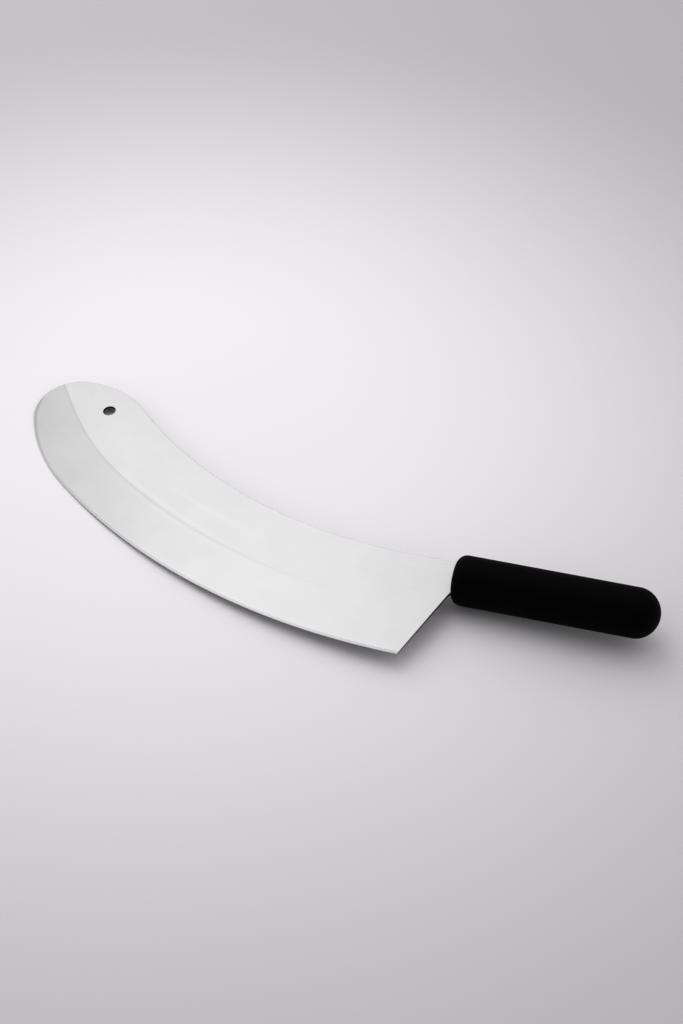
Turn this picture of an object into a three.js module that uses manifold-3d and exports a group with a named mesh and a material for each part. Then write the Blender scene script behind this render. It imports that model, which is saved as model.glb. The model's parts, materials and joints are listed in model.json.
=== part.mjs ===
// A one-handled mezzaluna: a crescent mincing blade whose tang is moulded into a round handle.
// Millimetres, +Z up. The knife is drawn flat, with the handle's axis on X, the middle of the handle's
// front at the origin and the cutting edge towards -Y. It is then laid down on a table at z = 0.

import * as THREE from 'three';
import { mergeVertices } from 'three/addons/utils/BufferGeometryUtils.js';
import Module from 'manifold-3d';

const wasm = await Module();
wasm.setup();

// Cutting edge: one arc, parallel to the handle at the heel
const EDGE_RADIUS = 475;
const EDGE_LENGTH = 358; // along the arc, from the heel to abreast of the nose
const HEEL_DEPTH = 68; // heel corner, across from the handle's axis
const HEEL_SETBACK = 20.5; // heel corner, ahead of the handle
const HEEL_FILLET = 3; // where the heel runs into the neck

// Nose and spine: arcs that run into each other
const NOSE_RADIUS = 30.6;
const NOSE_INSET = 11.8; // from the edge's arc to the nose's round
const SHOULDER_RADIUS = 144; // from the edge into the nose
const CROWN_RADIUS = 74; // from the nose into the spine
const CROWN_DROP = 13.4; // from the nose's round to the spine's arc
const SPINE_STRAIGHT = 30; // straight spine ahead of the handle

// Hang hole, measured from the middle of the nose's round
const HANG_HOLE = 9.5;
const HANG_SETBACK = 16.6; // along the blade, towards the heel
const HANG_OFFSET = 21.7; // across the blade, towards the spine

// Plate, its ground bevel and its sharpened edge
const PLATE_THICKNESS = 2;
const EDGE_BREAK = 0.25; // chamfer on the edges that aren't sharpened
const GRIND_WIDTH = 36.5;
const GRIND_EDGE = 0.8; // thickness that the bevel leaves at the edge
const SWING_START = 303; // along the edge from the heel, where the bevel starts to widen
const SWING_ANGLE = THREE.MathUtils.degToRad(6.9); // how far the bevel swings in towards the nose
const SHARPENED_WIDTH = 1.6;
const SHARPENED_EDGE = 0.1; // thickness left at the very edge

// Neck and tang
const NECK_WIDTH = 27;
const NECK_SEAT = 5; // how far the neck reaches into the handle
const TANG_FILLET = 2; // between the neck's shoulders and the tang
const TANG_MARGIN = 30; // handle beyond the tang's end
const KEY_HOLE = 7; // holes that lock the tang into the core
const KEY_HOLES = 3;

// Handle
const HANDLE_LENGTH = 135.5;
const HANDLE_DIAMETER = 34; // at the front
const BUTT_DIAMETER = 33.4;
const BUTT_DEPTH = 16; // length of the domed end
const FRONT_ROUND = 7.3;
const FRONT_WALL = 7; // grip ahead of the core
const SKIN = 3.5; // grip round the core
const CORE_WALL = 2.7; // core beside the tang, at its grooves
const GROOVES = 4; // rings that lock the grip onto the core
const GROOVE_WIDTH = 10;
const GROOVE_DEPTH = 2;
const FIT_GAP = 0.3; // between pieces that are moulded together

// Weights, in grams for each cubic millimetre
const STEEL = 0.0078;
const HARD_POLYMER = 0.0011;
const GRIP_POLYMER = 0.0011;

// Fineness of round forms
const CHORD_ERROR = 0.02;
const HANDLE_SIDES = 48;
const GRIND_SIDES = 360;
const ROUND_STEPS = 8;

// Room that a cutting tool has beyond what it cuts
const OVERRUN = 5;

// Search for the angle at which the knife leans on the table
const STEEPEST_LEAN = Math.PI / 8;
const LEAN_HALVINGS = 40;

const at = (x, y) => new THREE.Vector2(x, y);

// The point at a distance from one point on the way to another
function towards(from, to, distance) {
  return to.clone().sub(from).setLength(distance).add(from);
}

// Where two circles cross, to the left (1) or the right (-1) of the way from one centre to the other
function crossing(centre, radius, otherCentre, otherRadius, side) {
  const way = otherCentre.clone().sub(centre);
  const span = way.length();
  const along = (radius ** 2 - otherRadius ** 2 + span ** 2) / (2 * span);
  const across = Math.sqrt(radius ** 2 - along ** 2) * side;
  way.divideScalar(span);
  return centre.clone().addScaledVector(way, along).add(at(-way.y, way.x).multiplyScalar(across));
}

// Points of an arc from one point to another about a centre, both ends included
function arc(centre, from, to, clockwise = true) {
  const radius = centre.distanceTo(from);
  const start = from.clone().sub(centre).angle();
  const turn = to.clone().sub(centre).angle() - start;
  const sweep = THREE.MathUtils.euclideanModulo(clockwise ? -turn : turn, 2 * Math.PI);
  const steps = Math.ceil(sweep / (2 * Math.acos(1 - CHORD_ERROR / radius)));
  const points = [];
  for (let i = 0; i <= steps; i += 1) {
    const angle = start + ((clockwise ? -sweep : sweep) * i) / steps;
    points.push(at(radius, 0).rotateAround(at(0, 0), angle).add(centre));
  }
  return points;
}

// A shape from points in order, with repeated points left out
function shapeOf(points) {
  const isNew = (point, i) => point.distanceTo(points.at(i - 1)) > CHORD_ERROR / 10;
  return new THREE.Shape(points.filter(isNew));
}

function roundHole(centre, diameter) {
  const left = at(centre.x - diameter / 2, centre.y);
  const right = at(centre.x + diameter / 2, centre.y);
  return shapeOf([...arc(centre, left, right, false), ...arc(centre, right, left, false)]);
}

// A closed body from a geometry, for joining and cutting
function solid(geometry) {
  const bare = geometry.clone();
  bare.deleteAttribute('normal');
  bare.deleteAttribute('uv');
  const merged = mergeVertices(bare);
  const corners = merged.index.array;
  const triangles = [];
  for (let i = 0; i < corners.length; i += 3) {
    const [a, b, c] = corners.slice(i, i + 3);
    if (a !== b && b !== c && c !== a) triangles.push(a, b, c);
  }
  const vertProperties = merged.attributes.position.array;
  const triVerts = new Uint32Array(triangles);
  return new wasm.Manifold(new wasm.Mesh({ numProp: 3, vertProperties, triVerts }));
}

function meshOf(name, body, material) {
  const { vertProperties, triVerts } = body.getMesh();
  const geometry = new THREE.BufferGeometry();
  geometry.setAttribute('position', new THREE.BufferAttribute(vertProperties, 3));
  geometry.setIndex(new THREE.BufferAttribute(triVerts, 1));
  geometry.computeVertexNormals();
  const mesh = new THREE.Mesh(geometry, material);
  mesh.name = name;
  return mesh;
}

// A flat body about the plane z = 0, its edges chamfered inwards by a width and a height
function plate(shape, thickness, chamfer, chamferHeight = chamfer) {
  const depth = thickness - 2 * chamferHeight;
  const geometry = new THREE.ExtrudeGeometry(shape, {
    depth,
    bevelEnabled: chamfer > 0,
    bevelSegments: 1,
    bevelSize: chamfer,
    bevelOffset: -chamfer,
    bevelThickness: chamferHeight,
  });
  return solid(geometry.translate(0, 0, -depth / 2));
}

// A body turned about the handle's axis, from (radius, x) points
function turned(profile) {
  return solid(new THREE.LatheGeometry(profile, HANDLE_SIDES).rotateZ(-Math.PI / 2));
}

// Plan of the blade: the centres of its arcs and the points where they meet
const heel = at(-HEEL_SETBACK, -HEEL_DEPTH);
const edgeCentre = at(heel.x, heel.y + EDGE_RADIUS);
const noseTurn = EDGE_LENGTH / EDGE_RADIUS;
const acrossBlade = at(Math.sin(noseTurn), Math.cos(noseTurn));
const alongBlade = at(Math.cos(noseTurn), -Math.sin(noseTurn));
const nose = edgeCentre.clone().addScaledVector(acrossBlade, NOSE_RADIUS + NOSE_INSET - EDGE_RADIUS);
const hangHole = nose.clone()
  .addScaledVector(alongBlade, HANG_SETBACK)
  .addScaledVector(acrossBlade, HANG_OFFSET);

const spineStart = at(-SPINE_STRAIGHT, NECK_WIDTH / 2);
const noseToSpine = NOSE_RADIUS + CROWN_DROP;
const spineRise = nose.y - spineStart.y;
const spineRadius =
  (nose.distanceToSquared(spineStart) - noseToSpine ** 2) / (2 * (spineRise + noseToSpine));
const spineCentre = at(spineStart.x, spineStart.y + spineRadius);

const shoulderCentre = crossing(
  edgeCentre, EDGE_RADIUS - SHOULDER_RADIUS, nose, SHOULDER_RADIUS - NOSE_RADIUS, 1);
const crownCentre = crossing(
  nose, CROWN_RADIUS - NOSE_RADIUS, spineCentre, spineRadius + CROWN_RADIUS, -1);
const shoulderStart = towards(edgeCentre, shoulderCentre, EDGE_RADIUS);
const noseStart = towards(shoulderCentre, nose, SHOULDER_RADIUS);
const crownStart = towards(crownCentre, nose, CROWN_RADIUS);
const crownEnd = towards(spineCentre, crownCentre, spineRadius);

// The bevel is ground about the edge's centre, and near the nose about a centre that has swung round
const grindRadius = EDGE_RADIUS - GRIND_WIDTH;
const swingTurn = SWING_START / EDGE_RADIUS;
const swingPoint = at(-Math.sin(swingTurn), -Math.cos(swingTurn)).multiplyScalar(grindRadius).add(edgeCentre);
const swungCentre = edgeCentre.clone().rotateAround(swingPoint, -SWING_ANGLE);

// The handle's inner sizes
const coreRadius = BUTT_DIAMETER / 2 - SKIN - FIT_GAP;
const tangHalf = coreRadius - GROOVE_DEPTH - CORE_WALL;
const tangEnd = HANDLE_LENGTH - TANG_MARGIN;
const buttStart = HANDLE_LENGTH - BUTT_DEPTH;

// Neck, shoulders, tang and the top of the heel, from the spine round to the heel line.
// A gap widens the outline for the slot that the tang sits in.
function rootOutline(gap) {
  const neck = NECK_WIDTH / 2 + gap;
  const shoulder = NECK_SEAT + gap;
  const tang = tangHalf + gap;
  const filletX = NECK_SEAT + TANG_FILLET;
  const filletY = tangHalf + TANG_FILLET;
  const endCentre = at(tangEnd - tangHalf, 0);
  const heelRoot = at(0, -NECK_WIDTH / 2);
  const heelAngle = Math.atan2(heelRoot.y - heel.y, heelRoot.x - heel.x);
  const filletCentre = heelRoot.clone().add(at(HEEL_FILLET * Math.tan(heelAngle / 2), -HEEL_FILLET));
  const filletTop = at(filletCentre.x, -neck);
  const heelNormal = at(-Math.sin(heelAngle), Math.cos(heelAngle));
  const filletFoot = filletCentre.clone().addScaledVector(heelNormal, HEEL_FILLET - gap);
  return [
    at(shoulder, neck),
    ...arc(at(filletX, filletY), at(shoulder, filletY), at(filletX, tang), false),
    ...arc(endCentre, at(endCentre.x, tang), at(endCentre.x, -tang)),
    ...arc(at(filletX, -filletY), at(filletX, -tang), at(shoulder, -filletY), false),
    at(shoulder, -neck),
    ...arc(filletCentre, filletTop, filletFoot, false),
  ];
}

function keyHoles(gap) {
  const pitch = (tangEnd - NECK_SEAT) / (KEY_HOLES + 1);
  return Array.from({ length: KEY_HOLES }, (_, i) =>
    roundHole(at(NECK_SEAT + pitch * (i + 1), 0), KEY_HOLE - 2 * gap));
}

// The edge from the heel to a point on the nose's round
function edgeOutline(end) {
  return [
    ...arc(edgeCentre, heel, shoulderStart),
    ...arc(shoulderCentre, shoulderStart, noseStart),
    ...arc(nose, noseStart, end),
  ];
}

function bladeOutline() {
  return shapeOf([
    ...edgeOutline(crownStart),
    ...arc(crownCentre, crownStart, crownEnd),
    ...arc(spineCentre, crownEnd, spineStart, false),
    ...rootOutline(0),
  ]);
}

// A cone-faced ring that grinds the upper side of the blade down towards its edge
function grinder(centre) {
  const face = PLATE_THICKNESS / 2;
  const slope = (PLATE_THICKNESS - GRIND_EDGE) / 2 / GRIND_WIDTH;
  const outside = EDGE_RADIUS + OVERRUN;
  const ring = [
    at(grindRadius, face),
    at(outside, face - slope * (outside - grindRadius)),
    at(outside, face + OVERRUN),
    at(grindRadius, face + OVERRUN),
    at(grindRadius, face),
  ];
  const geometry = new THREE.LatheGeometry(ring, GRIND_SIDES).rotateX(Math.PI / 2);
  return solid(geometry.translate(centre.x, centre.y, 0));
}

// A plate that thins to the sharpened edge along the edge and round the nose, and clears the rest
function sharpener() {
  const slope = (GRIND_EDGE - SHARPENED_EDGE) / 2 / SHARPENED_WIDTH;
  const height = PLATE_THICKNESS / 2;
  const width = height / slope;
  const last = crossing(swungCentre, grindRadius, nose, NOSE_RADIUS, -1);
  const leaving = at(last.y - nose.y, nose.x - last.x).setLength(EDGE_RADIUS);
  const far = HANDLE_LENGTH + width;
  const outline = [
    ...edgeOutline(last),
    last.clone().add(leaving),
    at(far, last.y + leaving.y),
    at(far, heel.y),
  ];
  return plate(shapeOf(outline), SHARPENED_EDGE + 2 * height, width, height);
}

function bladeBody() {
  const outline = bladeOutline();
  outline.holes = [roundHole(hangHole, HANG_HOLE), ...keyHoles(0)];
  const grind = grinder(edgeCentre).add(grinder(swungCentre));
  return plate(outline, PLATE_THICKNESS, EDGE_BREAK)
    .subtract(grind)
    .subtract(grind.mirror([0, 0, 1]))
    .intersect(sharpener());
}

// The slot for neck and tang, with a gap all round, and the keys that fill the tang's holes left standing
function tangSlot() {
  const ahead = OVERRUN + FRONT_ROUND;
  const outline = shapeOf([
    at(-ahead, NECK_WIDTH / 2 + FIT_GAP),
    ...rootOutline(FIT_GAP),
    at(-ahead, -NECK_WIDTH / 2 - FIT_GAP),
  ]);
  outline.holes = keyHoles(FIT_GAP);
  return plate(outline, PLATE_THICKNESS + 2 * FIT_GAP, 0);
}

// A quarter of an ellipse from the side of a turned body to its end
function dome(radius, start, depth) {
  return Array.from({ length: ROUND_STEPS + 1 }, (_, i) => {
    const angle = (Math.PI / 2) * (i / ROUND_STEPS);
    return at(i < ROUND_STEPS ? radius * Math.cos(angle) : 0, start + depth * Math.sin(angle));
  });
}

// Profile of the core, or of the hollow round it where a gap is given
function coreProfile(gap) {
  const radius = coreRadius + gap;
  const front = FRONT_WALL + FIT_GAP - gap;
  const points = [at(0, front), at(radius, front)];
  for (let i = 0; i < GROOVES; i += 1) {
    const middle = FRONT_WALL + ((buttStart - FRONT_WALL) * (i + 0.5)) / GROOVES;
    const half = GROOVE_WIDTH / 2 - gap;
    points.push(at(radius, middle - half));
    points.push(at(radius - GROOVE_DEPTH, middle - half));
    points.push(at(radius - GROOVE_DEPTH, middle + half));
    points.push(at(radius, middle + half));
  }
  points.push(...dome(radius, buttStart, BUTT_DEPTH - SKIN - FIT_GAP + gap));
  return points;
}

function gripProfile() {
  const radius = HANDLE_DIAMETER / 2;
  const points = [at(0, 0)];
  for (let i = 0; i <= ROUND_STEPS; i += 1) {
    const angle = (Math.PI / 2) * (i / ROUND_STEPS);
    const inset = FRONT_ROUND * (1 - Math.sin(angle));
    points.push(at(radius - inset, FRONT_ROUND * (1 - Math.cos(angle))));
  }
  points.push(...dome(BUTT_DIAMETER / 2, buttStart, BUTT_DEPTH));
  return points;
}

function coreBody() {
  return turned(coreProfile(0)).subtract(tangSlot());
}

function gripBody() {
  return turned(gripProfile()).subtract(turned(coreProfile(FIT_GAP))).subtract(tangSlot());
}

const steel = new THREE.MeshStandardMaterial({ color: 0xd6d7d9, roughness: 0.35, metalness: 1 });
const hardPolymer = new THREE.MeshStandardMaterial({ color: 0x3c3e44, roughness: 0.5, metalness: 0 });
const blackPolymer = new THREE.MeshStandardMaterial({ color: 0x121215, roughness: 0.6, metalness: 0 });

const blade = meshOf('blade', bladeBody(), steel);
const core = meshOf('handle_core', coreBody(), hardPolymer);
const grip = meshOf('handle_grip', gripBody(), blackPolymer);

// The middle of a mesh and its weight, from the slivers between its triangles and the origin
function weigh(mesh, density) {
  const { position } = mesh.geometry.attributes;
  const corners = mesh.geometry.index.array;
  const middle = new THREE.Vector3();
  let volume = 0;
  for (let i = 0; i < corners.length; i += 3) {
    const [a, b, c] = [0, 1, 2].map((k) => new THREE.Vector3().fromBufferAttribute(position, corners[i + k]));
    const sliver = a.dot(b.clone().cross(c)) / 6;
    volume += sliver;
    middle.addScaledVector(a.add(b).add(c), sliver / 4);
  }
  return { weight: volume * density, middle: middle.divideScalar(volume) };
}

function balancePoint() {
  const parts = [weigh(blade, STEEL), weigh(core, HARD_POLYMER), weigh(grip, GRIP_POLYMER)];
  const total = parts.reduce((sum, part) => sum + part.weight, 0);
  const point = at(0, 0);
  parts.forEach(({ weight, middle }) => point.addScaledVector(at(middle.x, middle.y), weight / total));
  return point;
}

// Height of a mesh's lowest point once the knife leans over by an angle in a direction of its plan
function lowest(mesh, direction, angle) {
  const { position } = mesh.geometry.attributes;
  let low = Infinity;
  for (let i = 0; i < position.count; i += 1) {
    const along = position.getX(i) * direction.x + position.getY(i) * direction.y;
    low = Math.min(low, position.getZ(i) * Math.cos(angle) - along * Math.sin(angle));
  }
  return low;
}

// The knife lies on the handle's front rim and on the shoulder of its nose. It leans squarely to the
// shoulder, at the point that lies in line with the rim and the balance point.
function layOnTable(knife) {
  const rim = at(FRONT_ROUND, 0);
  const way = balancePoint().sub(rim).normalize();
  const out = rim.clone().sub(shoulderCentre);
  const half = out.dot(way);
  const reach = Math.sqrt(half ** 2 - out.lengthSq() + SHOULDER_RADIUS ** 2) - half;
  const touch = rim.clone().addScaledVector(way, reach);
  const direction = touch.sub(shoulderCentre).normalize();
  let level = 0;
  let steep = STEEPEST_LEAN;
  for (let i = 0; i < LEAN_HALVINGS; i += 1) {
    const angle = (level + steep) / 2;
    if (lowest(blade, direction, angle) > lowest(grip, direction, angle)) level = angle;
    else steep = angle;
  }
  knife.quaternion.setFromAxisAngle(new THREE.Vector3(-direction.y, direction.x, 0), level);
  const box = new THREE.Box3().setFromObject(knife, true);
  const middle = box.getCenter(new THREE.Vector3());
  knife.position.set(-middle.x, -middle.y, -box.min.z);
}

const knife = new THREE.Group();
knife.add(blade, core, grip);
layOnTable(knife);

const mezzaluna = new THREE.Group();
mezzaluna.add(knife);
mezzaluna.updateMatrixWorld(true);

export default mezzaluna;
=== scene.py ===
"""A one-handled mezzaluna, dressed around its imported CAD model: blade, handle and stage.

The knife is drawn flat, in a plan of its own: the handle's axis on X, the middle of the handle's
front at the origin and the cutting edge towards -Y. Each finished piece is then laid down as the
CAD model lies. Lengths are in metres and angles in radians.
"""

import json
import math

import bmesh
import bpy
from bpy.props import FloatProperty, FloatVectorProperty, IntProperty, PointerProperty
from mathutils import Matrix, Vector


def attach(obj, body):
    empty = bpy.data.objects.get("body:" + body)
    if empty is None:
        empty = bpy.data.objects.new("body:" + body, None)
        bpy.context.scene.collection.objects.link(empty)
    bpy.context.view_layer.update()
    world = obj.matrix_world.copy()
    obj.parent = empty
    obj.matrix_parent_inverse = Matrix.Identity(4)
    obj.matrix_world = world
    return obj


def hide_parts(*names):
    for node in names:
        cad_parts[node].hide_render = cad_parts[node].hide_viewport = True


bl_info = {
    "name": "Mezzaluna",
    "version": (1, 0, 0),
    "blender": (4, 5, 0),
    "location": "View3D > Sidebar > Mezzaluna",
    "description": "Models a one-handled mezzaluna around its CAD frame",
    "category": "Object",
}

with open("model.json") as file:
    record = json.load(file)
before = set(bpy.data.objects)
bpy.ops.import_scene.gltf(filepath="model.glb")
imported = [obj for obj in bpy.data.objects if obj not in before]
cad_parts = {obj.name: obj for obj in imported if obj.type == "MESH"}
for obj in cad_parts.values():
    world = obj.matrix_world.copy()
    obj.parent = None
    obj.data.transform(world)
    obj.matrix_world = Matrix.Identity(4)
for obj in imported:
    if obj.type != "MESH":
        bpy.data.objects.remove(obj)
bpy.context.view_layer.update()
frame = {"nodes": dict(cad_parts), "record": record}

# Place of the record's mount on the upper flat, in the knife's plan
FLAT_MOUNT = Vector((-0.248, 0.065, 0.001))

# Pieces are drawn in millimetres: the mesh tools weld or drop what is only micrometres apart
DRAWN = 1000

# Fineness of round forms, and how close two points are when they count as one
CHORD_ERROR = 4e-6
HANDLE_SIDES = 96
RIM_STEPS = 3
WELD = 1e-6

# Axes that lines are turned about, and the two sides of the way from one point to another
HANDLE_AXIS = (1, 0, 0)
PLATE_AXIS = (0, 0, 1)
LEFT, RIGHT = 1, -1

# Room that a cutter has beyond what it cuts
OVERRUN = 0.005

# Where cutters start: the grinding rings (an angle) and the sharpening bar beyond the heel, and the
# slot ahead of the handle
RING_LEAD = 0.2
BAR_LEAD = 0.025
SLOT_LEAD = 0.02

# Angles for the shading: the most tilt of a broad face, what counts as flush and what as a crease
BROAD_TILT = math.radians(3)
FLUSH_ANGLE = math.radians(0.4)
BLADE_CREASE = math.radians(40)
GRIP_CREASE = math.radians(30)


def lay_of_knife():
    """The lean and the place of the knife on the table, from the mount on its upper flat."""
    mount = next(m for m in frame["record"]["mounts"] if m["name"] == "upper_flat")
    lean = Vector((0, 0, 1)).rotation_difference(Vector(mount["axis"]))
    return lean, Vector(mount["pos_m"]) - lean @ FLAT_MOUNT


LEAN, PLACE = lay_of_knife()


def length(name, description, default):
    return FloatProperty(name=name, description=description, default=default, min=0, unit="LENGTH")


def shade(name, description, default):
    return FloatVectorProperty(
        name=name, description=description, default=default, size=3, min=0, max=1, subtype="COLOR")


def share(name, description, default):
    return FloatProperty(
        name=name, description=description, default=default, min=0, max=1, subtype="FACTOR")


def place(name, description, default):
    return FloatVectorProperty(
        name=name, description=description, default=default, subtype="TRANSLATION", unit="LENGTH")


def angle(name, description, degrees):
    return FloatProperty(
        name=name, description=description, default=math.radians(degrees), subtype="ANGLE")


def count(name, description, default):
    return IntProperty(name=name, description=description, default=default, min=1)


class BladeSizes(bpy.types.PropertyGroup):
    """Sizes of the blade"""

    edge_radius: length("Edge radius", "Radius of the cutting edge", 0.475)
    edge_length: length("Edge length", "Along the edge, from heel to abreast of the nose", 0.358)
    heel_depth: length("Heel depth", "Heel corner, across from the handle's axis", 0.068)
    heel_setback: length("Heel setback", "Heel corner, ahead of the handle", 0.0205)
    heel_fillet: length("Heel fillet", "Round where the heel runs into the neck", 0.003)
    nose_radius: length("Nose radius", "Radius of the blade's round end", 0.0306)
    nose_inset: length("Nose inset", "From the edge's arc to the nose's round", 0.0118)
    shoulder_radius: length("Shoulder radius", "Arc from the edge into the nose", 0.144)
    crown_radius: length("Crown radius", "Arc from the nose into the spine", 0.074)
    crown_drop: length("Crown drop", "From the nose's round to the spine's arc", 0.0134)
    spine_straight: length("Straight spine", "Straight length ahead of the handle", 0.030)
    hang_hole: length("Hang hole", "Diameter of the hang hole", 0.0095)
    hang_setback: length("Hang setback", "Hole from the nose's middle, along the blade", 0.0166)
    hang_offset: length("Hang offset", "Hole from the nose's middle, across the blade", 0.0217)
    thickness: length("Thickness", "Thickness of the plate", 0.002)
    edge_break: length("Edge break", "Round on the edges that aren't sharpened", 0.00025)
    hole_break: length("Hole break", "Round on the rims of the holes", 0.0001)
    grind_width: length("Bevel width", "Width of the ground bevel", 0.0365)
    grind_edge: length("Bevel edge", "Thickness that the bevel leaves at the edge", 0.0008)
    swing_start: length(
        "Swing start", "Along the edge from the heel, where the bevel starts to widen", 0.303)
    swing_angle: angle("Swing", "How far the bevel swings in towards the nose", 6.9)
    swing_round: length("Swing round", "Radius of the grind line where the bevel swings", 0.25)
    sharpened_width: length("Sharpened width", "Width of the sharpened strip", 0.0016)
    sharpened_edge: length("Sharpened edge", "Thickness left at the very edge", 0.0001)
    sharpened_turn: angle(
        "Sharpened turn", "How far round the nose the sharpened strip reaches", 16)
    neck_width: length("Neck width", "Width of the neck where it enters the handle", 0.027)
    neck_seat: length("Neck seat", "How far the neck reaches into the handle", 0.005)
    tang_width: length("Tang width", "Width of the tang inside the handle", 0.0164)
    tang_end: length("Tang end", "End of the tang, from the handle's front", 0.1055)
    tang_fillet: length("Tang fillet", "Round between the neck's shoulders and the tang", 0.002)
    key_hole: length("Keying hole", "Diameter of the holes that lock the tang in the handle", 0.007)
    key_holes: count("Keying holes", "Number of holes along the tang", 3)


class HandleSizes(bpy.types.PropertyGroup):
    """Sizes of the handle"""

    length: length("Length", "Length of the handle", 0.1355)
    diameter: length("Diameter", "Diameter at the front", 0.034)
    butt_diameter: length("Butt diameter", "Diameter where the domed end starts", 0.0334)
    butt_depth: length("Butt depth", "Length of the domed end", 0.016)
    front_round: length("Front round", "Radius of the round front rim", 0.0073)
    front_wall: length("Front wall", "Grip ahead of the core", 0.007)
    skin: length("Skin", "Thickness of the grip round the core", 0.0035)
    grooves: count("Grooves", "Number of grooves round the core, which hold the grip's ridges", 4)
    groove_width: length("Groove width", "Width of a groove", 0.010)
    groove_depth: length("Groove depth", "Depth of a groove", 0.002)
    fit_gap: length("Fit gap", "Gap between the grip and the core", 0.0003)
    slot_gap: length("Slot gap", "Gap between the grip and the neck", 0.0001)


class Finishes(bpy.types.PropertyGroup):
    """Colours and finishes"""

    steel: shade("Steel", "Colour of the satin steel", (0.503, 0.503, 0.503))
    steel_roughness: share("Steel roughness", "Roughness of the satin steel", 0.48)
    # Painted reflection and shade along the steel: lighter at the heel, darker towards the nose
    painted_blade_fade: share("Blade fade", "How much darker the steel gets from heel to nose", 0.095)
    painted_nose_fade: share("Nose fade", "How much darker the steel gets again round the nose", 0.045)
    fine_lines: share("Fine lines", "How much the fine lines change the steel's tone", 0.06)
    streaks: share("Streaks", "How much the broad streaks change the steel's tone", 0.05)
    clouds: share("Clouds", "How much the soft clouds change the steel's tone", 0.04)
    bevel_shade: share("Bevel shade", "How much darker the bevel is at the nose", 0.168)
    # Painted shade along the grind line, and painted highlights beside it, on the flat and by the
    # edge
    line_shade: share("Line shade", "How much darker the steel is along the grind line", 0.06)
    glint: share("Glint", "How much lighter the steel is where it is polished", 0.03)
    # Painted shade on the heel's cut face and in the hang hole's bore
    cut_shade: share(
        "Cut shade", "How much darker the cut faces of the heel and the hang hole are", 0.85)
    grip: shade("Grip", "Colour of the grip", (0.0008, 0.0008, 0.0012))
    grip_roughness: share("Grip roughness", "Roughness of the grip", 0.62)
    core: shade("Core", "Colour of the core", (0.05, 0.05, 0.06))


class Studio(bpy.types.PropertyGroup):
    """Floor, light and camera"""

    floor: shade("Floor", "Colour of the floor", (0.875, 0.86, 0.87))
    floor_size: length("Floor size", "Width of the floor", 12.0)
    # A painted pool of light on the floor: darker away from its bright spot
    painted_light_centre: place(
        "Bright spot", "Brightest place of the floor, in the knife's plan", (-0.215, 0.10, 0.0))
    falloff: share("Falloff", "How much darker the floor is away from its bright spot", 0.38)
    fade_start: length("Fade start", "From the bright spot to where the floor starts to fade", 0.1)
    fade_end: length("Fade end", "From the bright spot to where the floor is darkest", 0.65)
    sky: shade("Sky", "Colour of the light all round", (0.99, 0.98, 1.0))
    sky_strength: FloatProperty(
        name="Sky strength", description="Strength of the light all round", default=1.04, min=0)
    horizon: share("Horizon", "Share of the light all round that is left at the horizon", 0.44)
    camera_side: share("Camera side", "How much weaker the light is from the camera's side", 1.0)
    key: place("Key light", "Place of the soft key light, behind the knife", (-0.62, 0.58, 1.02))
    key_aim: place("Key aim", "Place that the key light faces", (-0.05, 0.0, 0.0))
    key_width: length("Key width", "Width of the key light", 1.0)
    key_height: length("Key height", "Height of the key light", 1.3)
    key_power: FloatProperty(
        name="Key power", description="Power of the key light", default=5.2, min=0, unit="POWER")
    gamma: FloatProperty(
        name="Gamma", description="Gamma of the picture, below 1 for more contrast",
        default=0.8, min=0.1)
    eye: place("Camera", "Place of the camera", (0.21807, -0.65333, 0.74012))
    pitch: angle("Pitch", "Turn of the camera up from straight down", 43.752)
    yaw: angle("Yaw", "Turn of the camera to the left", 16.910)
    lens: FloatProperty(
        name="Lens", description="Focal length of the camera", default=50.998, unit="CAMERA")


def towards(start, end, distance):
    """The point at a distance from one point on the way to another."""
    return start + (end - start).normalized() * distance


def crossing(centre, radius, other_centre, other_radius, side):
    """Where two circles cross, on the LEFT or RIGHT of the way between their centres."""
    way = other_centre - centre
    span = way.length
    along = (radius ** 2 - other_radius ** 2 + span ** 2) / (2 * span)
    across = math.sqrt(radius ** 2 - along ** 2) * side
    way /= span
    return centre + way * along + Vector((-way.y, way.x)) * across


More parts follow.
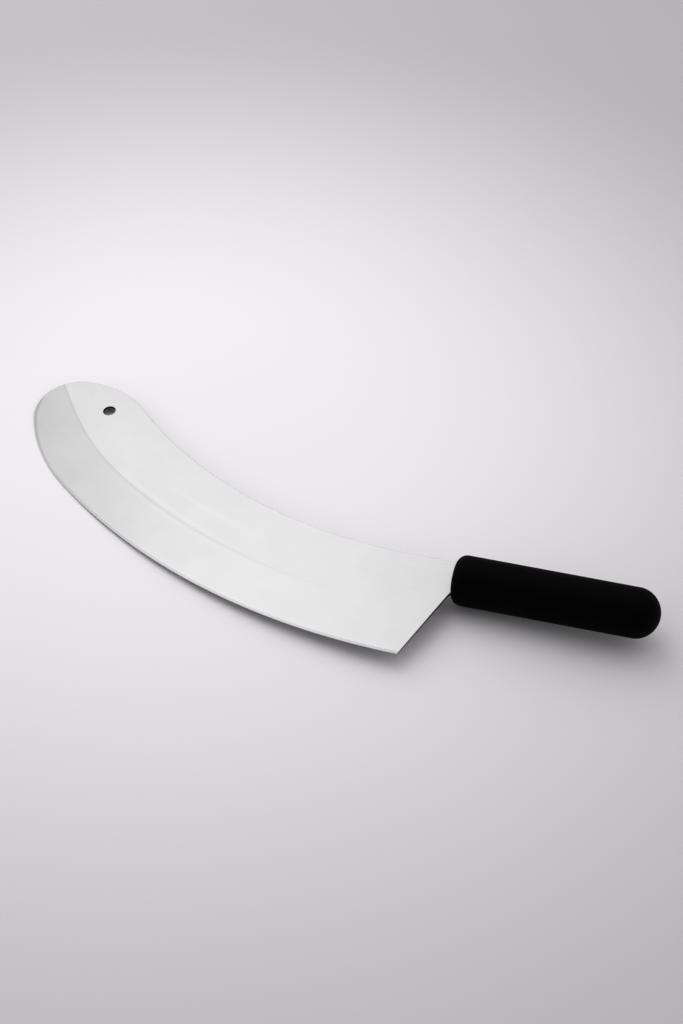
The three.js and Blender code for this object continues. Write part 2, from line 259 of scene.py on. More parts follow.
class Plan:
    """The arcs of the blade's outline and the points where they meet, from its sizes."""

    def __init__(self, sizes):
        self.sizes = sizes
        self.heel = Vector((-sizes.heel_setback, -sizes.heel_depth))
        self.heel_root = Vector((0, -sizes.neck_width / 2))
        self.edge_centre = self.heel + Vector((0, sizes.edge_radius))
        turn = sizes.edge_length / sizes.edge_radius
        across = Vector((math.sin(turn), math.cos(turn)))
        along = Vector((math.cos(turn), -math.sin(turn)))
        nose_reach = sizes.nose_radius + sizes.nose_inset - sizes.edge_radius
        self.nose = self.edge_centre + across * nose_reach
        self.hang_hole = self.nose + along * sizes.hang_setback + across * sizes.hang_offset
        self.place_spine()
        self.place_arcs()
        self.place_grind()

    def place_spine(self):
        """The spine's arc leaves its straight part smoothly and passes under the nose's round."""
        sizes = self.sizes
        self.spine_start = Vector((-sizes.spine_straight, sizes.neck_width / 2))
        drop = sizes.nose_radius + sizes.crown_drop
        way = self.nose - self.spine_start
        self.spine_radius = (way.length_squared - drop ** 2) / (2 * (way.y + drop))
        self.spine_centre = self.spine_start + Vector((0, self.spine_radius))

    def place_arcs(self):
        """Shoulder and crown, which run smoothly from the edge and the spine into the nose."""
        sizes = self.sizes
        self.shoulder_centre = crossing(
            self.edge_centre, sizes.edge_radius - sizes.shoulder_radius,
            self.nose, sizes.shoulder_radius - sizes.nose_radius, LEFT)
        self.crown_centre = crossing(
            self.nose, sizes.crown_radius - sizes.nose_radius,
            self.spine_centre, self.spine_radius + sizes.crown_radius, RIGHT)
        self.shoulder_start = towards(self.edge_centre, self.shoulder_centre, sizes.edge_radius)
        self.nose_start = towards(self.shoulder_centre, self.nose, sizes.shoulder_radius)
        self.crown_start = towards(self.crown_centre, self.nose, sizes.crown_radius)
        self.crown_end = towards(self.spine_centre, self.crown_centre, self.spine_radius)

    def place_grind(self):
        """The bevel is ground about the edge's centre, and near the nose about a swung centre."""
        sizes = self.sizes
        self.grind_radius = sizes.edge_radius - sizes.grind_width
        turn = sizes.swing_start / sizes.edge_radius
        across = Vector((math.sin(turn), math.cos(turn)))
        swing_point = self.edge_centre - across * self.grind_radius
        swing = Matrix.Rotation(-sizes.swing_angle, 2)
        self.swung_centre = swing_point + swing @ (self.edge_centre - swing_point)
        self.round_centre = crossing(
            self.edge_centre, self.grind_radius - sizes.swing_round,
            self.swung_centre, self.grind_radius - sizes.swing_round, RIGHT)


class Pen:
    """Draws in edit mode: extrudes or spins what is selected from place to place in the plan.

    It starts as one vertex. A line that is filled becomes a face, which then draws a solid.
    """

    def __init__(self, name, start):
        bpy.ops.object.select_all(action="DESELECT")
        bpy.ops.mesh.primitive_plane_add(size=OVERRUN)
        bpy.context.object.name = name
        bpy.ops.object.mode_set(mode="EDIT")
        bpy.ops.mesh.select_mode(type="VERT")
        bpy.ops.mesh.merge(type="CENTER")
        bpy.ops.transform.translate(value=start.to_3d() * DRAWN)
        self.start = self.place = start.to_3d()

    def line(self, *points):
        for point in points:
            step = (point.to_3d() - self.place) * DRAWN
            bpy.ops.mesh.extrude_region_move(TRANSFORM_OT_translate={"value": step})
            self.place = point.to_3d()

    def arc(self, centre, end, clockwise=True):
        first, last = self.place.xy - centre, end - centre
        turn = (math.atan2(first.y, first.x) - math.atan2(last.y, last.x)) % math.tau
        sweep = turn if clockwise else math.tau - turn
        steps = math.ceil(sweep / (2 * math.acos(1 - CHORD_ERROR / first.length)))
        bpy.ops.mesh.spin(
            steps=steps, angle=sweep if clockwise else -sweep,
            center=centre.to_3d() * DRAWN, axis=PLATE_AXIS)
        self.place = end.to_3d()

    def fill(self):
        """Makes a line that comes back to its start a face."""
        bpy.ops.mesh.select_all(action="SELECT")
        bpy.ops.mesh.remove_doubles(threshold=WELD * DRAWN)
        bpy.ops.mesh.edge_face_add()

    def turn(self, centre=Vector((0, 0)), axis=HANDLE_AXIS):
        """Turns the line all the way round, about the handle's axis or another one."""
        bpy.ops.mesh.select_all(action="SELECT")
        bpy.ops.mesh.spin(
            steps=HANDLE_SIDES, angle=math.tau, center=centre.to_3d() * DRAWN, axis=axis)

    def finish(self):
        """Leaves edit mode with a closed solid whose faces point outwards."""
        bpy.ops.mesh.select_all(action="SELECT")
        bpy.ops.mesh.remove_doubles(threshold=WELD * DRAWN)
        bpy.ops.mesh.normals_make_consistent(inside=False)
        bpy.ops.object.mode_set(mode="OBJECT")
        return bpy.context.object


def activate(piece):
    bpy.ops.object.select_all(action="DESELECT")
    piece.select_set(True)
    bpy.context.view_layer.objects.active = piece


def cut(piece, cutter):
    """Cuts a piece with another object, which goes."""
    activate(piece)
    bpy.ops.object.modifier_add(type="BOOLEAN")
    modifier = piece.modifiers[-1]
    modifier.operation = "DIFFERENCE"
    modifier.solver = "MANIFOLD"
    modifier.object = cutter
    bpy.ops.object.modifier_apply(modifier=modifier.name)
    bpy.data.objects.remove(cutter)
    weld(piece)


def weld(piece):
    """Joins points that have come to lie on each other. The piece must still be a closed solid."""
    activate(piece)
    bpy.ops.object.mode_set(mode="EDIT")
    bpy.ops.mesh.select_all(action="SELECT")
    bpy.ops.mesh.remove_doubles(threshold=WELD * DRAWN)
    mesh = bmesh.from_edit_mesh(piece.data)
    if not mesh.faces or not all(edge.is_manifold for edge in mesh.edges):
        raise RuntimeError(f"{piece.name} isn't a closed solid")
    bpy.ops.object.mode_set(mode="OBJECT")


def select_edges(piece, wanted):
    """In edit mode, selects the edges that pass a test."""
    bpy.ops.mesh.select_mode(type="EDGE")
    bpy.ops.mesh.select_all(action="DESELECT")
    mesh = bmesh.from_edit_mesh(piece.data)
    for edge in mesh.edges:
        edge.select_set(wanted(edge))
    mesh.select_flush_mode()
    bmesh.update_edit_mesh(piece.data)
    if not any(edge.select for edge in mesh.edges):
        raise RuntimeError(f"{piece.name} has no such edges")


def round_edges(piece, wanted, radius, segments):
    activate(piece)
    bpy.ops.object.mode_set(mode="EDIT")
    select_edges(piece, wanted)
    bpy.ops.mesh.bevel(offset=radius * DRAWN, segments=segments, affect="EDGES")
    bpy.ops.object.mode_set(mode="OBJECT")


def lay_down(piece):
    """Lays a piece that was drawn flat as the CAD model lies, with its place in its mesh."""
    activate(piece)
    piece.matrix_world = Matrix.LocRotScale(PLACE, LEAN, Vector((1, 1, 1)) / DRAWN)
    bpy.ops.object.transform_apply(location=True, rotation=True, scale=True)


def draw_root(pen, plan, gap):
    """Neck, shoulders, tang and the round at the heel's top. A gap widens them, for the slot."""
    sizes = plan.sizes
    neck = sizes.neck_width / 2 + gap
    shoulder = sizes.neck_seat + gap
    half = sizes.tang_width / 2
    tang = half + gap
    fillet = Vector((sizes.neck_seat + sizes.tang_fillet, half + sizes.tang_fillet))
    end = Vector((sizes.tang_end - half, 0))
    heel_way = plan.heel_root - plan.heel
    heel_lean = math.atan2(heel_way.y, heel_way.x)
    heel_round = plan.heel_root + Vector((math.tan(heel_lean / 2), -1)) * sizes.heel_fillet
    heel_normal = Vector((-heel_way.y, heel_way.x)).normalized()
    pen.line(Vector((shoulder, neck)), Vector((shoulder, fillet.y)))
    pen.arc(fillet, Vector((fillet.x, tang)), clockwise=False)
    pen.line(Vector((end.x, tang)))
    pen.arc(end, Vector((end.x, -tang)))
    pen.line(Vector((fillet.x, -tang)))
    pen.arc(Vector((fillet.x, -fillet.y)), Vector((shoulder, -fillet.y)), clockwise=False)
    pen.line(Vector((shoulder, -neck)), Vector((heel_round.x, -neck)))
    pen.arc(heel_round, heel_round + heel_normal * (sizes.heel_fillet - gap), clockwise=False)


def blade_half(plan):
    """The upper half of the blade's plate, with its rim rounded."""
    pen = Pen("mincing_blade", plan.heel)
    pen.arc(plan.edge_centre, plan.shoulder_start)
    pen.arc(plan.shoulder_centre, plan.nose_start)
    pen.arc(plan.nose, plan.crown_start)
    pen.arc(plan.crown_centre, plan.crown_end)
    pen.arc(plan.spine_centre, plan.spine_start, clockwise=False)
    draw_root(pen, plan, 0)
    pen.line(plan.heel)
    pen.fill()
    pen.place = Vector((0, 0, 0))
    pen.line(Vector((0, 0, plan.sizes.thickness / 2)))
    half = pen.finish()

    def is_rim(edge):
        return min(vert.co.z for vert in edge.verts) > 0

    round_edges(half, is_rim, plan.sizes.edge_break, RIM_STEPS)
    return half


def drill(plan, centre, diameter):
    """A drill that leaves a rounded rim where it enters the plate."""
    face, rim, radius = plan.sizes.thickness / 2, plan.sizes.hole_break, diameter / 2
    pen = Pen("drill", Vector((centre.x, centre.y, -OVERRUN)))
    pen.line(Vector((centre.x + radius, centre.y, -OVERRUN)))
    for i in range(RIM_STEPS + 1):
        turn = math.pi / 2 * i / RIM_STEPS
        reach = radius + rim * (1 - math.cos(turn))
        pen.line(Vector((centre.x + reach, centre.y, face - rim * (1 - math.sin(turn)))))
    pen.line(
        Vector((centre.x + radius + rim, centre.y, OVERRUN)),
        Vector((centre.x, centre.y, OVERRUN)))
    pen.turn(centre, PLATE_AXIS)
    return pen.finish()


def drill_holes(half, plan):
    """The hang hole, and the holes that lock the tang in its moulding."""
    sizes = plan.sizes
    cut(half, drill(plan, plan.hang_hole, sizes.hang_hole))
    pitch = (sizes.tang_end - sizes.neck_seat) / (sizes.key_holes + 1)
    for i in range(sizes.key_holes):
        cut(half, drill(plan, Vector((sizes.neck_seat + pitch * (i + 1), 0)), sizes.key_hole))


def grinding_ring(plan, centre, radius, start, end):
    """A sector of a ring whose sloping face grinds the plate down, from a radius outwards."""
    sizes = plan.sizes
    face = sizes.thickness / 2
    slope = (face - sizes.grind_edge / 2) / sizes.grind_width
    outside = radius + sizes.grind_width + OVERRUN

    def corner(reach, height):
        return (centre + start * reach).to_3d() + Vector((0, 0, height))

    pen = Pen("grinding_ring", corner(radius - OVERRUN, face + slope * OVERRUN))
    pen.line(
        corner(outside, face - slope * (outside - radius)),
        corner(outside, face + OVERRUN),
        corner(radius - OVERRUN, face + OVERRUN),
        pen.start)
    pen.fill()
    pen.place = corner(outside, 0)
    pen.arc(centre, centre + end * outside)
    return pen.finish()


def grind_bevel(half, plan):
    """Grinds the bevel, which swings inwards at the nose with a round of its own."""
    heel_side = Vector((math.sin(RING_LEAD), -math.cos(RING_LEAD)))
    nose_side = Vector((-1, 0))
    for centre in (plan.edge_centre, plan.swung_centre):
        cut(half, grinding_ring(plan, centre, plan.grind_radius, heel_side, nose_side))
    start = (plan.round_centre - plan.edge_centre).normalized()
    end = (plan.round_centre - plan.swung_centre).normalized()
    cut(half, grinding_ring(plan, plan.round_centre, plan.sizes.swing_round, start, end))


def sharpening_bar(plan):
    """A wedge drawn along the cutting edge and into the nose, which leaves the sharpened strip."""
    sizes = plan.sizes
    slope = (sizes.grind_edge - sizes.sharpened_edge) / 2 / sizes.sharpened_width
    edge, top = sizes.sharpened_edge / 2, sizes.thickness
    outward, inward = sizes.sharpened_width / 2, (top - edge) / slope
    start = plan.heel + Vector((BAR_LEAD, 0))

    def corner(inset, height):
        return (start + Vector((0, inset))).to_3d() + Vector((0, 0, height))

    pen = Pen("sharpening_bar", corner(-outward, edge - slope * outward))
    pen.line(corner(inward, top), corner(inward, 2 * top), corner(-outward, 2 * top), pen.start)
    pen.fill()
    pen.place = start.to_3d()
    pen.line(plan.heel)
    pen.arc(plan.edge_centre, plan.shoulder_start)
    pen.arc(plan.shoulder_centre, plan.nose_start)
    arm = Matrix.Rotation(-sizes.sharpened_turn, 2) @ (plan.nose_start - plan.nose)
    pen.arc(plan.nose, plan.nose + arm)
    pen.line(plan.nose + arm + Vector((arm.y, -arm.x)))
    return pen.finish()


def mirror_half(half):
    """Opens the half where it was drawn and makes it whole with its mirror image."""
    activate(half)
    bpy.ops.object.mode_set(mode="EDIT")
    bpy.ops.mesh.select_mode(type="FACE")
    bpy.ops.mesh.select_all(action="DESELECT")
    mesh = bmesh.from_edit_mesh(half.data)
    for face in mesh.faces:
        face.select_set(all(abs(vert.co.z) < WELD * DRAWN for vert in face.verts))
    bmesh.update_edit_mesh(half.data)
    bpy.ops.mesh.delete(type="FACE")
    bpy.ops.object.mode_set(mode="OBJECT")
    bpy.ops.object.modifier_add(type="MIRROR")
    modifier = half.modifiers[-1]
    modifier.use_axis = (False, False, True)
    modifier.merge_threshold = WELD * DRAWN
    bpy.ops.object.modifier_apply(modifier=modifier.name)
    weld(half)
    bpy.ops.object.mode_set(mode="EDIT")
    bpy.ops.mesh.select_all(action="SELECT")
    bpy.ops.mesh.normals_make_consistent(inside=False)
    bpy.ops.object.mode_set(mode="OBJECT")


def crease_broad_faces(piece):
    """Marks the edges where a broad face ends as sharp, and shades the narrow faces smooth."""
    broad = math.cos(BROAD_TILT)

    def ends_broad_face(edge):
        return (
            any(abs(face.normal.z) > broad for face in edge.link_faces)
            and edge.calc_face_angle(math.pi) > FLUSH_ANGLE)

    activate(piece)
    bpy.ops.object.mode_set(mode="EDIT")
    select_edges(piece, ends_broad_face)
    bpy.ops.mesh.mark_sharp()
    bpy.ops.object.mode_set(mode="OBJECT")
    bpy.ops.object.shade_smooth_by_angle(angle=BLADE_CREASE, keep_sharp_edges=True)


def draw_dome(pen, radius, start, depth):
    """A quarter of an ellipse from the side of a turned body to its end."""
    steps = HANDLE_SIDES // 4
    for i in range(1, steps):
        turn = math.pi / 2 * i / steps
        pen.line(Vector((start + depth * math.sin(turn), radius * math.cos(turn))))
    pen.line(Vector((start + depth, 0)))


def grip_body(handle):
    """The outside of the grip, turned from its profile."""
    radius, rim = handle.diameter / 2, handle.front_round
    butt_start = handle.length - handle.butt_depth
    pen = Pen("moulded_grip", Vector((0, 0)))
    pen.line(Vector((0, radius - rim)))
    pen.arc(Vector((rim, radius - rim)), Vector((rim, radius)))
    pen.line(Vector((butt_start, handle.butt_diameter / 2)))
    draw_dome(pen, handle.butt_diameter / 2, butt_start, handle.butt_depth)
    pen.turn()
    return pen.finish()


def core_hollow(handle):
    """The hollow that the core fills, with the ridges that lock into its grooves."""
    radius = handle.butt_diameter / 2 - handle.skin
    butt_start = handle.length - handle.butt_depth
    pitch = (butt_start - handle.front_wall) / handle.grooves
    half = handle.groove_width / 2 - handle.fit_gap
    pen = Pen("core_hollow", Vector((handle.front_wall, 0)))
    pen.line(Vector((handle.front_wall, radius)))
    for i in range(handle.grooves):
        middle = handle.front_wall + pitch * (i + 0.5)
        pen.line(
            Vector((middle - half, radius)),
            Vector((middle - half, radius - handle.groove_depth)),
            Vector((middle + half, radius - handle.groove_depth)),
            Vector((middle + half, radius)))
    pen.line(Vector((butt_start, radius)))
    draw_dome(pen, radius, butt_start, handle.butt_depth - handle.skin)
    pen.turn()
    return pen.finish()


def neck_slot(plan, gap):
    """The slot that the neck and the tang pass through."""
    ahead = Vector((-SLOT_LEAD, plan.sizes.neck_width / 2 + gap))
    pen = Pen("neck_slot", ahead)
    draw_root(pen, plan, gap)
    pen.line(Vector((ahead.x, -ahead.y)), ahead)
    pen.fill()
    half = Vector((0, 0, plan.sizes.thickness / 2 + gap))
    bpy.ops.transform.translate(value=-half * DRAWN)
    pen.place = -half
    pen.line(half)
    return pen.finish()


class Signal:
    """A shader socket in an expression: each operation on values adds its Math node."""

    def __init__(self, tree, socket=None):
        self.tree = tree
        self.socket = socket

    def node(self, kind, settings=None, sockets=None, output=0):
        """Adds a node with its settings and its sockets' values or links, and gives an output."""
        made = self.tree.nodes.new(kind)
        for name, value in (settings or {}).items():
            setattr(made, name, value)
        for name, value in (sockets or {}).items():
            if isinstance(value, Signal):
                self.tree.links.new(value.socket, made.inputs[name])
            else:
                made.inputs[name].default_value = value
        return Signal(self.tree, made.outputs[output] if made.outputs else None)

    def math(self, operation, *values):
        return self.node("ShaderNodeMath", {"operation": operation}, dict(enumerate(values)))

    def __add__(self, other):
        return self.math("ADD", self, other)

    def __sub__(self, other):
        return self.math("SUBTRACT", self, other)

    def __rsub__(self, other):
        return self.math("SUBTRACT", other, self)

    def __mul__(self, other):
        return self.math("MULTIPLY", self, other)

    __radd__ = __add__
    __rmul__ = __mul__

    def rise(self, start, end):
        """0 before start, 1 after end and a smooth step between."""
        return self.node(
            "ShaderNodeMapRange", {"interpolation_type": "SMOOTHSTEP"},
            {"Value": self, "From Min": start, "From Max": end})

    def band(self, middle, width):
        """1 at a value, fading smoothly to 0 over a width to both sides."""
        return 1 - self.math("ABSOLUTE", self - middle).rise(0, width)

    def vector_math(self, operation, sockets, output=0):
        return self.node("ShaderNodeVectorMath", {"operation": operation}, sockets, output)

    def axis(self, name):
        return self.node("ShaderNodeSeparateXYZ", None, {0: self}, name)

    def distance(self, point):
        return self.vector_math("DISTANCE", {0: self, 1: point.to_3d()}, "Value")

    def dot(self, way):
        return self.vector_math("DOT_PRODUCT", {0: self, 1: way.to_3d()}, "Value")

    def noise(self, sizes, detail=2.0):
        """A noise about 0, from -1 to 1, whose marks have the given sizes along the three axes."""
        stretched = self.vector_math("DIVIDE", {0: self, 1: sizes})
        marks = self.node(
            "ShaderNodeTexNoise", None, {"Vector": stretched, "Scale": 1.0, "Detail": detail})
        return 2 * marks - 1

    def tint(self, colour):
        """A colour made lighter or darker by a value."""
        return self.vector_math("SCALE", {0: Vector(colour), "Scale": self})

    def relief(self, strength, depth):
        """A bumped normal, with a value as its height."""
        return self.node(
            "ShaderNodeBump", None, {"Strength": strength, "Distance": depth, "Height": self})


def clear_nodes(block):
    """Clears the nodes of a material or a world, and gives a start for new ones."""
    block.use_nodes = True
    block.node_tree.nodes.clear()
    return Signal(block.node_tree)


def new_finish(name):
    """A material, a start for its nodes, and its coordinates in the knife's plan."""
    material = bpy.data.materials.new(name)
    nodes = clear_nodes(material)
    table = nodes.node("ShaderNodeTexCoord", output="Object")
    spot = nodes.node(
        "ShaderNodeMapping", {"vector_type": "TEXTURE"},
        {"Vector": table, "Location": PLACE, "Rotation": LEAN.to_euler()})
    return material, nodes, spot


def end_finish(nodes, sockets):
    """Ends a finish in its shader."""
    shader = nodes.node("ShaderNodeBsdfPrincipled", None, sockets)
    nodes.node("ShaderNodeOutputMaterial", None, {"Surface": shader})


# Marks in the steel: sizes across and along the blade, then their part in roughness and relief
FINE_LINES = (0.0003, 0.04, 1)
STREAKS = (0.004, 0.15, 1)
STEEL_CLOUDS = (0.03, 0.03, 0.03)
FINE_ROUGHNESS, STREAK_ROUGHNESS = 0.05, 0.03
LINE_DEPTH, LINE_RELIEF = 0.00002, 0.15

# Painted reflection: tone of the steel at the heel, and the stretches along the edge, from the
# heel, where painted shade darkens it
PAINTED_HEEL_LIGHT = 1.055
PAINTED_SHADE_STRETCH = (0.03, 0.29)
PAINTED_NOSE_SHADE = (0.30, 0.385)

# The bevel: how its two arcs blend, how crisply it starts and the stretch where it darkens. It has
# a share of its darkening at the grind line and gains more towards the edge.
SWING_BLEND = 0.0055
BEVEL_START = (-0.0001, 0.0001)
BEVEL_DARK_STRETCH = (0.15, 0.33)
DARK_AT_LINE, DARKER_TO_EDGE = 0.6, 0.25

# The grind line: a band of painted shade and a painted highlight on each side, each by its middle
# past the line and its width. The shade comes in over a stretch, and the highlights show about one
# place.
LINE_BAND = (0.0004, 0.0016)
FLAT_GLINT, BEVEL_GLINT = (-0.003, 0.0025), (0.0035, 0.0025)
LINE_STRETCH = (0.03, 0.16)
GLINT_ALONG = (0.21, 0.12)

# Painted highlights: one on the flat, inside the grind line, which shows about one place, and one
# by the edge, some widths of the sharpened strip inside it, which goes over a stretch
FLAT_HIGHLIGHT_INSET, FLAT_HIGHLIGHT_WIDTH = 0.0185, 0.003
FLAT_HIGHLIGHT_ALONG = (0.185, 0.07)
EDGE_HIGHLIGHT_STRIPS, EDGE_HIGHLIGHT_WIDTH = 1.7, 0.0012
EDGE_HIGHLIGHT_STRETCH = (0.18, 0.28)


def grind_shade_and_highlights(plan, looks, reach, along, past_line):
    """Tone of the bevel, which is darker at the nose, with painted shade along the grind line and
    painted highlights beside it, on the flat and by the edge.
    """
    sizes = plan.sizes
    bevel = past_line.rise(*BEVEL_START) * along.rise(*BEVEL_DARK_STRETCH)
    darker_bevel = bevel * (DARK_AT_LINE + DARKER_TO_EDGE * past_line.rise(0, sizes.grind_width))
    line = past_line.band(*LINE_BAND) * along.rise(*LINE_STRETCH)
    beside_line = past_line.band(*FLAT_GLINT) + past_line.band(*BEVEL_GLINT)
    flat_highlight = reach.band(plan.grind_radius - FLAT_HIGHLIGHT_INSET, FLAT_HIGHLIGHT_WIDTH)
    edge_highlight = reach.band(sizes.edge_radius - EDGE_HIGHLIGHT_STRIPS * sizes.sharpened_width, EDGE_HIGHLIGHT_WIDTH)
    # Painted highlights beside the grind line, on the flat and by the edge
    painted_highlights = (
        beside_line * along.band(*GLINT_ALONG) + flat_highlight * along.band(*FLAT_HIGHLIGHT_ALONG)
        + edge_highlight * (1 - along.rise(*EDGE_HIGHLIGHT_STRETCH)))
    return looks.glint * painted_highlights - looks.bevel_shade * darker_bevel - looks.line_shade * line


def shaded_cut_faces(plan, nodes, spot):
    """1 on the heel's cut face and in the hang hole's bore, where shade is painted, and 0
    elsewhere.
    """
    sizes = plan.sizes
    heel_way = plan.heel_root - plan.heel
    heel_out = Vector((heel_way.y, -heel_way.x)).normalized()
    past_heel = spot.dot(heel_out) - plan.heel.dot(heel_out)
    bore = sizes.hang_hole / 2 + sizes.hole_break
    in_bore = 1 - spot.distance(plan.hang_hole).rise(bore, bore + sizes.hole_break)
    return nodes.math("MAXIMUM", past_heel.rise(-sizes.edge_break, 0), in_bore)


def satin_steel(plan, looks):
    """Satin steel with fine lines along the blade, painted reflection along it, a darker bevel at
    the nose, painted shade and highlights by the grind line and the edge, and painted shade on its
    cut faces.
    """
    steel, nodes, spot = new_finish("satin_steel")
    reach = spot.distance(plan.edge_centre)
    swung = spot.distance(plan.swung_centre)
    past_line = nodes.math("SMOOTH_MAX", reach, swung, SWING_BLEND) - plan.grind_radius
    turn = nodes.math(
        "ARCTAN2", plan.edge_centre.x - spot.axis("X"), plan.edge_centre.y - spot.axis("Y"))
    along = plan.sizes.edge_radius * turn
    lines = nodes.node("ShaderNodeCombineXYZ", None, {0: reach, 1: along})
    fine = lines.noise(FINE_LINES)
    streaks = lines.noise(STREAKS)
    clouds = spot.noise(STEEL_CLOUDS)
    # Painted shade that darkens the steel's reflection from the heel to the nose
    painted_fade = (
        looks.painted_blade_fade * along.rise(*PAINTED_SHADE_STRETCH) + looks.painted_nose_fade * along.rise(*PAINTED_NOSE_SHADE))
    tone = (
        PAINTED_HEEL_LIGHT - painted_fade
        + looks.fine_lines * fine + looks.streaks * streaks + looks.clouds * clouds
        + grind_shade_and_highlights(plan, looks, reach, along, past_line))
    # Painted shade on the cut faces
    painted_cut_shade = 1 - looks.cut_shade * shaded_cut_faces(plan, nodes, spot)
    end_finish(nodes, {
        "Base Color": (painted_cut_shade * tone).tint(looks.steel),
        "Metallic": 1.0,
        "Roughness": looks.steel_roughness + FINE_ROUGHNESS * fine + STREAK_ROUGHNESS * streaks,
        "Normal": fine.relief(LINE_RELIEF, LINE_DEPTH)})
    return steel


# Marks in the polymer: sizes of its grain and clouds, then their part in tone, roughness and relief
GRAIN, GRAIN_DETAIL = (0.0004, 0.0004, 0.0004), 3.0
POLYMER_CLOUDS = (0.02, 0.02, 0.02)
GRAIN_TONE, CLOUD_TONE = 0.25, 0.15
GRAIN_ROUGHNESS, CLOUD_ROUGHNESS = 0.05, 0.06
GRAIN_DEPTH, GRAIN_RELIEF = 0.00006, 0.35
POLYMER_SPECULAR = 0.05


def matte_polymer(name, colour, roughness):
    """Moulded polymer with a fine grain and a gloss that varies a little."""
    polymer, nodes, spot = new_finish(name)
    grain = spot.noise(GRAIN, GRAIN_DETAIL)
    clouds = spot.noise(POLYMER_CLOUDS)
    end_finish(nodes, {
        "Base Color": (1 + GRAIN_TONE * grain + CLOUD_TONE * clouds).tint(colour),
        "Roughness": roughness + CLOUD_ROUGHNESS * clouds + GRAIN_ROUGHNESS * grain,
        "Specular IOR Level": POLYMER_SPECULAR,
        "Normal": grain.relief(GRAIN_RELIEF, GRAIN_DEPTH)})
    return polymer


# The floor: size of its faint clouds, their part in its tone, and its gloss
FLOOR_CLOUDS, FLOOR_CLOUD_TONE = (0.3, 0.3, 0.3), 0.008
FLOOR_ROUGHNESS, FLOOR_SPECULAR = 0.85, 0.2


def pale_floor(studio):
    """Pale card with a faint unevenness, and a painted pool of light: darker away from its bright
    spot.
    """
    card, nodes, spot = new_finish("pale_card")
    # Painted light: the floor darkens away from the pool's centre
    reach = spot.distance(Vector(studio.painted_light_centre))
    falloff = 1 - studio.falloff * reach.rise(studio.fade_start, studio.fade_end)
    clouds = spot.noise(FLOOR_CLOUDS)
    end_finish(nodes, {
        "Base Color": (falloff + FLOOR_CLOUD_TONE * clouds).tint(studio.floor),
        "Roughness": FLOOR_ROUGHNESS,
        "Specular IOR Level": FLOOR_SPECULAR})
    return card


# The sky: it darkens between two cosines of the angle from the camera's direction, and it gains
# its full strength between two heights
CAMERA_CONE = (0.8, 0.95)
HORIZON_RISE = (0, 0.5)


def studio_sky(studio):
    """Light from all round, weaker at the horizon and from the camera's side."""
    sky = bpy.data.worlds.new("studio")
    nodes = clear_nodes(sky)
    way = nodes.node("ShaderNodeTexCoord", output="Object")
    by_camera = way.dot(Vector(studio.eye).normalized()).rise(*CAMERA_CONE)
    above_horizon = way.axis("Z").rise(*HORIZON_RISE)
    strength = (
        studio.sky_strength * (1 - studio.camera_side * by_camera)
        * (studio.horizon + (1 - studio.horizon) * above_horizon))
    light = nodes.node(
        "ShaderNodeBackground", None, {"Color": (*studio.sky, 1), "Strength": strength})
    nodes.node("ShaderNodeOutputWorld", None, {"Surface": light})
    return sky


def dress(piece, finish, node):
    """Gives a piece its finish and its place in the CAD model."""
    piece.data.materials.clear()
    piece.data.materials.append(finish)
    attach(piece, "root")
    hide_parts(node)


class MEZZALUNA_OT_blade(bpy.types.Operator):
    """Models the steel blade with its bevel, its sharpened edge, its hang hole and its tang"""

    bl_idname = "mezzaluna.blade"
    bl_label = "Blade"

    def execute(self, context):
        plan = Plan(context.scene.mezzaluna_blade)
        blade = blade_half(plan)
        drill_holes(blade, plan)
        grind_bevel(blade, plan)
        cut(blade, sharpening_bar(plan))
        mirror_half(blade)
        crease_broad_faces(blade)
        lay_down(blade)
        dress(blade, satin_steel(plan, context.scene.mezzaluna_finishes), "blade")
        return {"FINISHED"}


class MEZZALUNA_OT_grip(bpy.types.Operator):
    """Models the grip with its round front rim, its domed butt and the slot for the neck"""

    bl_idname = "mezzaluna.grip"
    bl_label = "Grip"

    def execute(self, context):
        handle = context.scene.mezzaluna_handle
        looks = context.scene.mezzaluna_finishes
        grip = grip_body(handle)
        cut(grip, core_hollow(handle))
        cut(grip, neck_slot(Plan(context.scene.mezzaluna_blade), handle.slot_gap))
        bpy.ops.object.shade_smooth_by_angle(angle=GRIP_CREASE)
        lay_down(grip)
        finish = matte_polymer("grip_polymer", looks.grip, looks.grip_roughness)
        dress(grip, finish, "handle_grip")
        return {"FINISHED"}


class MEZZALUNA_OT_core(bpy.types.Operator):
    """Gives the core that is hidden in the handle its finish"""

    bl_idname = "mezzaluna.core"
    bl_label = "Core"

    def execute(self, context):
        looks = context.scene.mezzaluna_finishes
        core = frame["nodes"]["handle_core"]
        finish = matte_polymer("core_polymer", looks.core, looks.grip_roughness)
        core.material_slots[0].material = finish
        return {"FINISHED"}


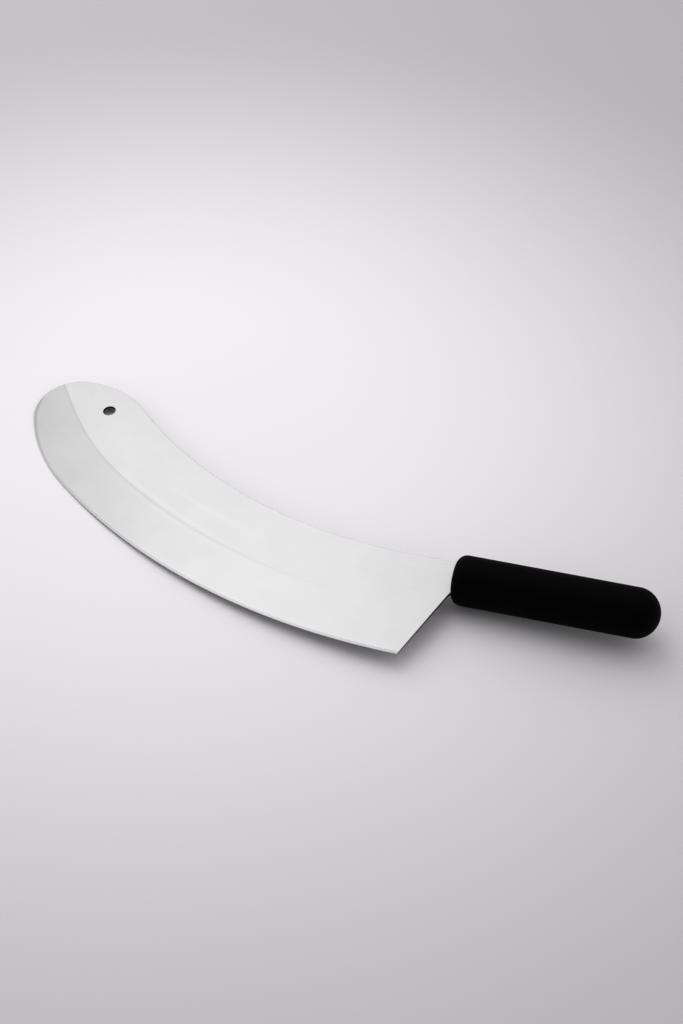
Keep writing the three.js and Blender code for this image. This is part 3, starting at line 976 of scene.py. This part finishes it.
class MEZZALUNA_OT_stage(bpy.types.Operator):
    """Sets up the floor, the soft light and the camera"""

    bl_idname = "mezzaluna.stage"
    bl_label = "Stage"

    def execute(self, context):
        studio = context.scene.mezzaluna_studio
        bpy.ops.object.select_all(action="DESELECT")
        bpy.ops.mesh.primitive_plane_add(size=studio.floor_size)
        floor = context.object
        floor.name = "floor"
        floor.data.materials.append(pale_floor(studio))

        facing = Vector(studio.key) - Vector(studio.key_aim)
        bpy.ops.object.light_add(
            type="AREA", location=studio.key, rotation=facing.to_track_quat("Z", "Y").to_euler())
        light = context.object.data
        light.shape = "RECTANGLE"
        light.size, light.size_y = studio.key_width, studio.key_height
        light.energy = studio.key_power

        context.scene.world = studio_sky(studio)
        context.scene.view_settings.view_transform = "Standard"
        context.scene.view_settings.gamma = studio.gamma

        bpy.ops.object.camera_add(location=studio.eye, rotation=(studio.pitch, 0, studio.yaw))
        context.object.data.lens = studio.lens
        context.scene.camera = context.object
        return {"FINISHED"}


class MEZZALUNA_PT_build(bpy.types.Panel):
    """Lists the pieces of the mezzaluna and its stage"""

    bl_idname = "MEZZALUNA_PT_build"
    bl_label = "Mezzaluna"
    bl_space_type = "VIEW_3D"
    bl_region_type = "UI"
    bl_category = "Mezzaluna"

    def draw(self, context):
        for operator in OPERATORS:
            self.layout.operator(operator.bl_idname)
        for group in SETTINGS:
            settings = getattr(context.scene, group)
            for name in settings.__annotations__:
                self.layout.prop(settings, name)


SETTINGS = {
    "mezzaluna_blade": BladeSizes,
    "mezzaluna_handle": HandleSizes,
    "mezzaluna_finishes": Finishes,
    "mezzaluna_studio": Studio,
}
OPERATORS = (MEZZALUNA_OT_blade, MEZZALUNA_OT_grip, MEZZALUNA_OT_core, MEZZALUNA_OT_stage)
CLASSES = (*SETTINGS.values(), *OPERATORS, MEZZALUNA_PT_build)


def register():
    for cls in CLASSES:
        bpy.utils.register_class(cls)
    for name, group in SETTINGS.items():
        setattr(bpy.types.Scene, name, PointerProperty(type=group))


def unregister():
    for name in SETTINGS:
        delattr(bpy.types.Scene, name)
    for cls in reversed(CLASSES):
        bpy.utils.unregister_class(cls)


def main():
    register()
    bpy.ops.mezzaluna.blade()
    bpy.ops.mezzaluna.grip()
    bpy.ops.mezzaluna.core()
    bpy.ops.mezzaluna.stage()


if __name__ == "__main__":
    main()
